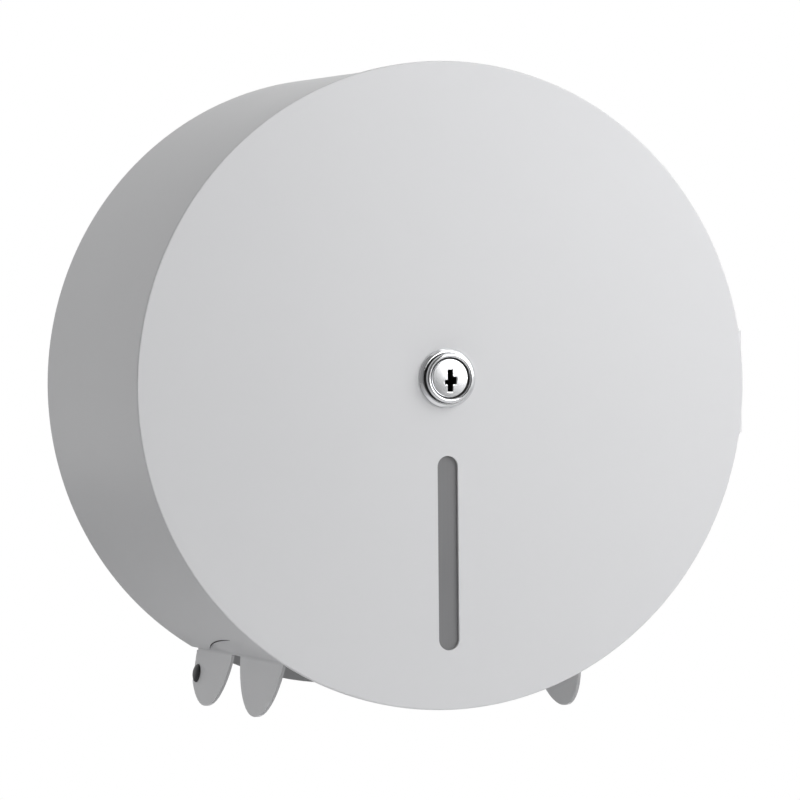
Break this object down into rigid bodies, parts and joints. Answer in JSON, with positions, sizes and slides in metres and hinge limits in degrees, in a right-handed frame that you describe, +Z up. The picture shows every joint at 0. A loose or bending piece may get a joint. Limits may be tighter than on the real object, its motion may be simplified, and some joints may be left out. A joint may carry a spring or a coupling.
{
  "type": "jumbo toilet roll dispenser",
  "caption": "Wall-mounted round drum for a jumbo toilet roll, with a locking side-hinged lid, level slot, turning roll hub and open bottom with rounded tear teeth.",
  "frame": {"origin": "middle of the four wall slots, in the wall plane", "axes": "+Y into the wall, +Z up, +X to the right of a person facing the dispenser; the lid faces -Y"},
  "size_m": [0.2517, 0.1267, 0.2534],
  "materials": {
    "white_paint": "pale grey-white powder coat on sheet steel, semi-matt",
    "lock_chrome": "polished nickel-chrome plate",
    "zinc_plate": "bright zinc plate",
    "hinge_steel": "powder coat like the drum",
    "hub_plastic": "light grey moulded plastic",
    "white_nylon": "natural nylon",
    "window_plastic": "smoke grey plastic strip",
    "black_finish": "black oxide"
  },
  "bodies": {
    "housing": {"back_plate": "white_paint", "side_band": "white_paint", "tear_plate_left": "white_paint", "tear_plate_right": "white_paint", "tooth_rivets": "black_finish", "spindle_base": "zinc_plate", "spindle_tube": "zinc_plate", "base_screws": "zinc_plate", "base_washers": "zinc_plate", "base_nuts": "zinc_plate", "keeper_plate": "zinc_plate", "thrust_washer": "white_nylon", "snap_ring": "zinc_plate", "band_hinge_leaf": "hinge_steel", "hinge_pin": "hinge_steel"},
    "roll_hub": {"roll_hub": "hub_plastic"},
    "lid": {"lid": "white_paint", "lid_hinge_leaf": "hinge_steel", "level_window": "window_plastic", "window_studs": "zinc_plate", "push_nuts": "zinc_plate", "lock_collar": "lock_chrome", "lock_barrel": "lock_chrome", "lock_washer": "zinc_plate", "lock_nut": "zinc_plate"},
    "lock": {"lock_plug": "lock_chrome", "lock_cam": "zinc_plate", "cam_washer": "zinc_plate", "cam_screw": "zinc_plate"}
  },
  "joints": [
    {"name": "lid_swing", "type": "hinge", "parent": "housing", "child": "lid", "pos_m": [0.124, -0.1164, 0], "axis": [0, 0, 1], "range_deg": [0, 105]},
    {"name": "lock_turn", "type": "hinge", "parent": "lid", "child": "lock", "pos_m": [0, -0.115, 0.003], "axis": [0, 1, 0], "range_deg": [0, 90]},
    {"name": "hub_spin", "type": "hinge", "parent": "housing", "child": "roll_hub", "pos_m": [0, -0.06, 0.003], "axis": [0, 1, 0], "continuous": true}
  ]
}
